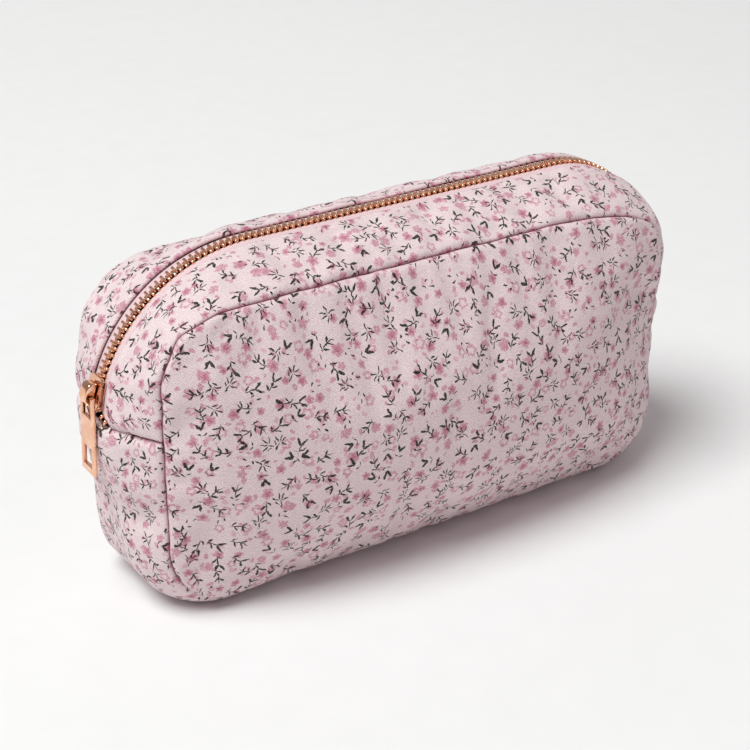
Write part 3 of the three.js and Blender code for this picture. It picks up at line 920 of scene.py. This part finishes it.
def printed_cotton():
    """White-pink cotton twill with a scattered flower print, and painted shade that turns it rosier deep in
    its seams.
    """
    net = Net("printed_cotton")
    place = cloth_millimetres(net)
    wander = net.noise(place, 0.75, 1.0).outputs["Color"]
    wander = net.vector("MULTIPLY", net.vector("SUBTRACT", wander, (0.5, 0.5, 0.5)), (1.3, 1.3, 0))
    drawn = net.vector("ADD", place, wander)
    grain = net.ramp(net.noise(place, 1.9, 4.0).outputs[0], 0.34, 0.62, 0.4, 1.0)

    colour = GROUND
    for share, tint in petals(net, drawn) + blossoms(net, drawn):
        colour = net.mix(net.math("MULTIPLY", share, grain), colour, tint)
    dry = net.ramp(net.noise(place, 2.6, 3.0).outputs[0], 0.3, 0.5, 0.7, 1.0)
    colour = net.mix(net.math("MULTIPLY", sprigs(net, drawn), dry), colour, LEAF)
    # Painted shade: the cloth turns a deeper rose in its seams and along its folds.
    crease = net.node("ShaderNodeAttribute", attribute_name="crease").outputs["Fac"]
    colour = net.mix(net.math("MULTIPLY", crease, 0.7), colour, SEAM_SHADE_ROSE)

    # Twill weave on the diagonal, slubs and a soft change of shade.
    diagonal = net.turned(place, math.radians(-52))
    wave = net.node("ShaderNodeTexWave", {
        "Vector": diagonal, "Scale": 0.314 / THREAD_SPACING, "Distortion": 1.6,
        "Detail": 2.0, "Detail Scale": 3.0}).outputs[1]
    slubs = net.noise(place, 0.35, 4.0).outputs[0]
    flecks = net.noise(place, 1.6, 3.0).outputs[0]
    shade = net.math("MULTIPLY", net.ramp(wave, 0, 1, 0.93, 1.02),
                     net.ramp(slubs, 0.3, 0.7, 0.96, 1.0))
    shade = net.math("MULTIPLY", shade, net.ramp(flecks, 0.32, 0.68, 0.87, 1.05))
    colour = net.vector("MULTIPLY", colour, net.combine(shade, shade, shade))
    creases = net.noise(place, 0.07, 4.0).outputs[0]
    normal = net.bump(creases, 0.0006)
    normal = net.bump(slubs, 0.00018, normal)
    normal = net.bump(flecks, 0.00006, normal)
    normal = net.bump(wave, 0.00006, normal)
    return net.finish(Base_Color=colour, Roughness=0.86, Normal=normal, Sheen_Weight=0.22,
                      Sheen_Roughness=0.45, Specular_IOR_Level=0.25)


def plain_weave(name, tint, pitch, sheen=0.15, depth=0.00012):
    """Over-and-under weave of single threads, for lining and tape."""
    net = Net(name)
    place = cloth_millimetres(net)
    x, y, _ = net.split(place)
    warp = net.math("SINE", net.math("MULTIPLY", x, math.pi * 2 / pitch))
    weft = net.math("SINE", net.math("MULTIPLY", y, math.pi * 2 / pitch))
    weave = net.ramp(net.math("MULTIPLY", warp, weft), -1, 1)
    slubs = net.noise(place, 0.3, 3.0).outputs[0]
    dark = tuple(channel * 0.78 for channel in tint[:3]) + (1.0,)
    colour = net.mix(net.math("MULTIPLY", weave, net.ramp(slubs, 0.3, 0.7, 0.7, 1.0)), dark, tint)
    normal = net.bump(weave, depth, net.bump(slubs, 0.0002))
    return net.finish(Base_Color=colour, Roughness=0.8, Normal=normal, Sheen_Weight=sheen)


def batting():
    """Loose white fibre."""
    net = Net("batting")
    place = net.node("ShaderNodeTexCoord").outputs["Object"]
    fibres = net.noise(place, 900.0, 6.0).outputs[0]
    colour = net.mix(fibres, rgb(222, 219, 210), rgb(246, 244, 238))
    return net.finish(Base_Color=colour, Roughness=0.95, Normal=net.bump(fibres, 0.0005),
                      Sheen_Weight=0.3)


def rose_gold(name, roughness, scratches):
    """Plated metal with faint brushing, and brighter rubbed patches."""
    net = Net(name)
    place = net.node("ShaderNodeTexCoord").outputs["Object"]
    stretched = net.vector("MULTIPLY", place, (4000, 4000, 250))
    brushed = net.noise(stretched, 0.6, 3.0).outputs[0]
    patches = net.noise(place, 320.0, 3.0).outputs[0]
    rubbed = net.ramp(patches, 0.4, 0.66)
    colour = net.mix(rubbed, rgb(240, 184, 152), rgb(250, 205, 174))
    rough = net.math("ADD", net.ramp(brushed, 0.3, 0.7, roughness - 0.05, roughness + 0.07),
                     net.math("MULTIPLY", rubbed, 0.04))
    normal = net.bump(brushed, scratches)
    return net.finish(Base_Color=colour, Metallic=1.0, Roughness=rough, Normal=normal)


def floor_paper():
    """Matt white paper with a faint mottle."""
    net = Net("floor_paper")
    place = net.node("ShaderNodeTexCoord").outputs["Object"]
    mottle = net.noise(place, 60.0, 4.0).outputs[0]
    colour = net.mix(mottle, rgb(234, 233, 234), rgb(239, 238, 239))
    return net.finish(Base_Color=colour, Roughness=0.7, Normal=net.bump(mottle, 0.0001))


# ---- zip

TOOTH_PITCH = 2.6
TOOTH_TOP = -0.35
ROW_MIDDLE = 1.5
LIP_FULL, LIP_NONE = TOP_RUN_END, 86.0


def lip_share(x):
    """How much of a lip's swing the fabric follows: all along the top, none past the corners."""
    return 1 - smoothstep(np.abs(x), LIP_FULL, LIP_NONE)


def bend_with_lip(obj, side, shares=None):
    """Makes a piece bend between the bag and one lip of the mouth."""
    lip = f"lip_{side}"
    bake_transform(obj, "bag", lip, start=(-LIP_NONE * MM, 0, 0), end=(-LIP_FULL * MM, 0, 0))
    if shares is None:
        shares = lip_share(np.array([v.co.x for v in obj.data.vertices]) / MM)
    attribute = obj.data.attributes["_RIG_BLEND"]
    attribute.data.foreach_set("value", np.asarray(shares, np.float32))


def run_nodes(stem):
    """The CAD nodes of a zip piece, which is cut into three runs."""
    return [f"{stem}_{run}" for run in ("left", "top", "right")]


def row_points(sign, station):
    """Points down the middle of one row of teeth, on the surface of the band."""
    station = np.atleast_1d(station)
    return band_surface(station, sign * (ROW_MIDDLE + parting(station)))


def tooth_stations(sign):
    """Stations set a tooth pitch apart along a row. The back row's teeth lie between the front's."""
    fine = np.linspace(ZIP_END - 0.6, -ZIP_END + 0.6, 6000)
    along = distances(row_points(sign, fine))
    first = TOOTH_PITCH / 2 if sign > 0 else 0
    return np.interp(np.arange(first, along[-1], TOOTH_PITCH), along, fine)


def row_frame(sign, station):
    """The place of a row at a station, and the directions along, outwards across and up from it."""
    point = row_points(sign, station)[0]
    along = row_points(sign, station + 0.3)[0] - row_points(sign, station - 0.3)[0]
    along /= np.linalg.norm(along)
    ridge = band_surface([station + 0.5, station - 0.5], [0.0, 0.0])
    up = np.cross(ridge[0] - ridge[1], [0.0, 1.0, 0.0])
    across = np.cross(up, along)
    across *= sign * np.sign(across[1]) / np.linalg.norm(across)
    up = np.cross(along, across) * sign
    return point, along, across, up / np.linalg.norm(up)


def tooth_mesh():
    """One tooth: a narrow head that hooks into the other row, and a wider foot on the tape."""
    tooth = bmesh.new()
    sections = [  # distance from the middle, half width, top, bottom
        (-0.95, 0.34, -0.6, -1.75),
        (-0.8, 0.42, -0.3, -2.1),
        (0.5, 0.42, -0.15, -2.3),
        (0.9, 0.48, 0.0, -2.5),
        (2.4, 0.5, 0.0, -2.5),
        (2.7, 0.38, -0.35, -2.2),
    ]
    rings = []
    for y, half, top, bottom in sections:
        chamfer = 0.35 * half
        ring = [
            (-half, y, bottom + chamfer), (-half + chamfer, y, bottom), (half - chamfer, y, bottom),
            (half, y, bottom + chamfer), (half, y, top - chamfer), (half - chamfer, y, top),
            (-half + chamfer, y, top), (-half, y, top - chamfer),
        ]
        rings.append([tooth.verts.new(corner) for corner in ring])
    for near, far in zip(rings, rings[1:]):
        for n in range(len(near)):
            m = (n + 1) % len(near)
            tooth.faces.new([near[n], far[n], far[m], near[m]])
    tooth.faces.new(rings[0])
    tooth.faces.new(rings[-1][::-1])
    bmesh.ops.recalc_face_normals(tooth, faces=tooth.faces)
    points = np.array([v.co for v in tooth.verts])
    faces = [[v.index for v in face.verts] for face in tooth.faces]
    return points, faces


def build_teeth(side):
    """A row of teeth from end to end. Each tooth keeps its shape when its lip swings."""
    sign = -1 if side == "front" else 1
    tooth_points, tooth_faces = tooth_mesh()
    points, faces, shares = [], [], []
    for station in tooth_stations(sign):
        origin, along, across, up = row_frame(sign, station)
        origin = origin - up * TOOTH_TOP - across * ROW_MIDDLE
        start = len(points)
        for x, y, z in tooth_points:
            points.append(origin + along * x * sign + across * y + up * z)
        faces += [[start + n for n in face] for face in tooth_faces]
        shares += [float(lip_share(origin[0]))] * len(tooth_points)
    obj = mesh_object(f"zip_teeth_{side}", points, faces)
    smooth(obj.data)
    obj.data.set_sharp_from_angle(angle=math.radians(50))
    obj.data.materials.append(materials["teeth"])
    bend_with_lip(obj, side, shares)
    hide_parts(*run_nodes(f"zip_teeth_{side}"))


def build_tape(side):
    """Woven tape under the fold, with a cord along its inner edge that the teeth clamp."""
    sign = -1 if side == "front" else 1
    stations = np.linspace(-ZIP_END, ZIP_END, 150)
    rows = [  # distance from the middle, depth
        (1.5, 1.3), (2.1, 0.95), (2.9, 0.8), (3.6, 0.9), (4.4, 1.05), (6.5, 1.25), (9.5, 1.5),
        (9.5, 1.9), (6.5, 1.7), (4.2, 1.6), (3.4, 1.8), (2.6, 1.85), (1.5, 1.7),
    ]
    points, uv = [], []
    for station in stations:
        _, _, _, up = row_frame(sign, station)
        opened = float(parting(station))
        for y, depth in rows:
            surface = band_surface([station], [sign * (y + opened)])[0]
            points.append(surface - up * depth)
            uv.append((station, y))
    count = len(rows)
    faces = []
    for n in range(len(stations) - 1):
        for m in range(count):
            a, b = n * count + m, n * count + (m + 1) % count
            quad = [a, a + count, b + count, b]
            faces.append(quad if side == "back" else quad[::-1])
    ends = [list(range(count)), list(range(len(points) - count, len(points)))[::-1]]
    faces += ends if side == "back" else [end[::-1] for end in ends]
    obj = mesh_object(f"zip_tape_{side}", points, faces, uv)
    smooth(obj.data)
    obj.data.materials.append(materials["tape"])
    bend_with_lip(obj, side)
    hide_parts(*run_nodes(f"zip_tape_{side}"))


# ---- slider and pull

def hard_copy(node, name, body, shape):
    """A hard piece in its CAD shape, with modifiers that soften its edges."""
    work = bmesh.new()
    work.from_mesh(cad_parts[node].data)
    bmesh.ops.remove_doubles(work, verts=work.verts, dist=1e-6)
    bmesh.ops.dissolve_limit(work, angle_limit=math.radians(2), verts=work.verts, edges=work.edges)
    mesh = bpy.data.meshes.new(name)
    work.to_mesh(mesh)
    obj = new_object(name, mesh)
    shape(obj)
    settled_mesh(obj)
    obj.data.materials.clear()
    obj.data.materials.append(materials["metal"])
    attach(obj, body)
    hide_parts(node)
    return obj


def stamped(obj):
    """Flat faces with a narrow rounded edge."""
    modify(obj, "BEVEL", width=0.22 * MM, segments=3, limit_method="ANGLE",
           angle_limit=math.radians(35))


def cast(obj, grain, rounds):
    """Rounded all over like a small casting: the more grain and rounds, the rounder."""
    modify(obj, "REMESH", mode="VOXEL", voxel_size=grain * MM)
    modify(obj, "SMOOTH", factor=0.5, iterations=rounds)


# ---- building the bag

BATTING_DEPTHS = (1.7, 4.5)
LINING_DEPTHS, LINING_RIM_DEPTHS = (5.2, 5.8), (2.4, 3.0)
STRIP_LINING_DEPTHS = (2.3, 2.8)
PRINT_OFFSETS = {"gusset": 13.0, "strip": 37.0}


def finish_cloth(obj, material, nodes, lip=None):
    """Gives a cloth piece its material and the bag or a lip to ride on, and hides the CAD nodes that it
    stands for.
    """
    obj.data.materials.clear()
    obj.data.materials.append(materials[material])
    if lip:
        bend_with_lip(obj, lip)
    else:
        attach(obj, "bag")
    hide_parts(*nodes)


def build_batting(name, points, normals, faces, uv, node):
    padding = layer(name, points, normals, faces, uv, BATTING_DEPTHS, crease=False)
    finish_cloth(padding, "batting", [node])


def build_lining(name, points, normals, faces, uv, node):
    lining = layer(name, points, normals, faces, uv, LINING_DEPTHS, rim_depths=LINING_RIM_DEPTHS)
    finish_cloth(lining, "lining", [node])


def build_shell():
    points = shell_points()
    points = pressed_out(points)
    points = slumped(dented(points))
    whole = {
        "front": panel_faces("front"),
        "back": panel_faces("back"),
        "band": band_faces(range(LOOP), range(BAND_ROWS)),
    }
    normals = {key: vertex_normals(points, faces) for key, faces in whole.items()}
    band = normals["band"]
    rims = {"front": 0, "back": BAND_ROWS}
    seam_lines = [
        line_on_shell(points, (normals[side], band), [band_index(row, k) for k in range(LOOP)], True)
        for side, row in rims.items()
    ]
    for k in (-ZIP_END_COLUMN, ZIP_END_COLUMN):
        across = [band_index(row, k) for row in range(BAND_ROWS + 1)]
        seam_lines.append(line_on_shell(points, (band,), across))
    seams = Lines(seam_lines)
    flat_print = shell_print()
    gusset_print = band_print(GUSSET_COLUMNS, PRINT_OFFSETS["gusset"])
    strip_print = band_print(ZIP_COLUMNS, PRINT_OFFSETS["strip"])

    for side in rims:
        panel = sewn_cloth(f"{side}_panel_cloth", points, panel_faces(side), flat_print, seams)
        finish_cloth(panel, "cotton", [f"{side}_panel"])
        build_batting(f"{side}_batting", points, normals[side], panel_faces(side, 2),
                      flat_print, f"{side}_padding")
        build_lining(f"{side}_inner_lining", points, normals[side], panel_faces(side, 1),
                     flat_print, f"{side}_lining")

    gusset = sewn_cloth("gusset_cloth", points, band_faces(GUSSET_COLUMNS, range(BAND_ROWS)),
                        gusset_print, seams)
    finish_cloth(gusset, "cotton", ["lower_gusset"])
    build_batting("gusset_batting", points, band,
                  band_faces(GUSSET_BATTING_COLUMNS, range(2, BAND_ROWS - 2)),
                  gusset_print, "lower_gusset_padding")
    build_lining("gusset_inner_lining", points, band,
                 band_faces(GUSSET_LINING_COLUMNS, range(1, BAND_ROWS - 1)),
                 gusset_print, "lower_gusset_lining")

    for side, rows in STRIP_ROWS.items():
        fold_row = SIDE_ROWS if side == "front" else SIDE_ROWS + MIDDLE_ROWS
        fold_line = [band_index(fold_row, k) for k in range(-ZIP_END_COLUMN, ZIP_END_COLUMN + 1)]
        folds = Lines([line_on_shell(points, (band,), fold_line)])
        strip = sewn_cloth(f"zip_strip_{side}", points, band_faces(ZIP_COLUMNS, rows),
                           strip_print, seams, folds)
        finish_cloth(strip, "cotton", run_nodes(f"zip_strip_{side}"), lip=side)
        inner_rows = range(1, SIDE_ROWS) if side == "front" else range(rows[0], BAND_ROWS - 1)
        lining = layer(f"strip_lining_{side}", points, band, band_faces(ZIP_COLUMNS, inner_rows),
                       strip_print, STRIP_LINING_DEPTHS)
        finish_cloth(lining, "lining", run_nodes(f"strip_lining_{side}"), lip=side)


def build_floor():
    mesh = bpy.data.meshes.new("floor")
    mesh.from_pydata([(-8, -8, 0), (8, -8, 0), (8, 8, 0), (-8, 8, 0)], [], [[0, 1, 2, 3]])
    floor = new_object("floor", mesh)
    floor.data.materials.append(materials["floor"])


make_camera()
make_studio()
materials = {
    "cotton": printed_cotton(),
    "lining": plain_weave("lining_cloth", rgb(228, 184, 194), 0.7),
    "tape": plain_weave("zip_tape_cloth", rgb(244, 214, 219), 0.9),
    "batting": batting(),
    "teeth": rose_gold("teeth_metal", 0.2, 0.00001),
    "metal": rose_gold("slider_metal", 0.12, 0.000004),
    "floor": floor_paper(),
}
build_floor()
build_shell()
for zip_side in ("front", "back"):
    build_teeth(zip_side)
    build_tape(zip_side)
hard_copy("slider_body", "slider_plates", "slider", lambda obj: cast(obj, 0.16, 8))
hard_copy("slider_cap", "slider_dome", "slider", lambda obj: cast(obj, 0.24, 60))
pull_bar = hard_copy("zip_pull", "zip_pull_bar", "pull", stamped)
pull_bar.data.set_sharp_from_angle(angle=math.radians(40))
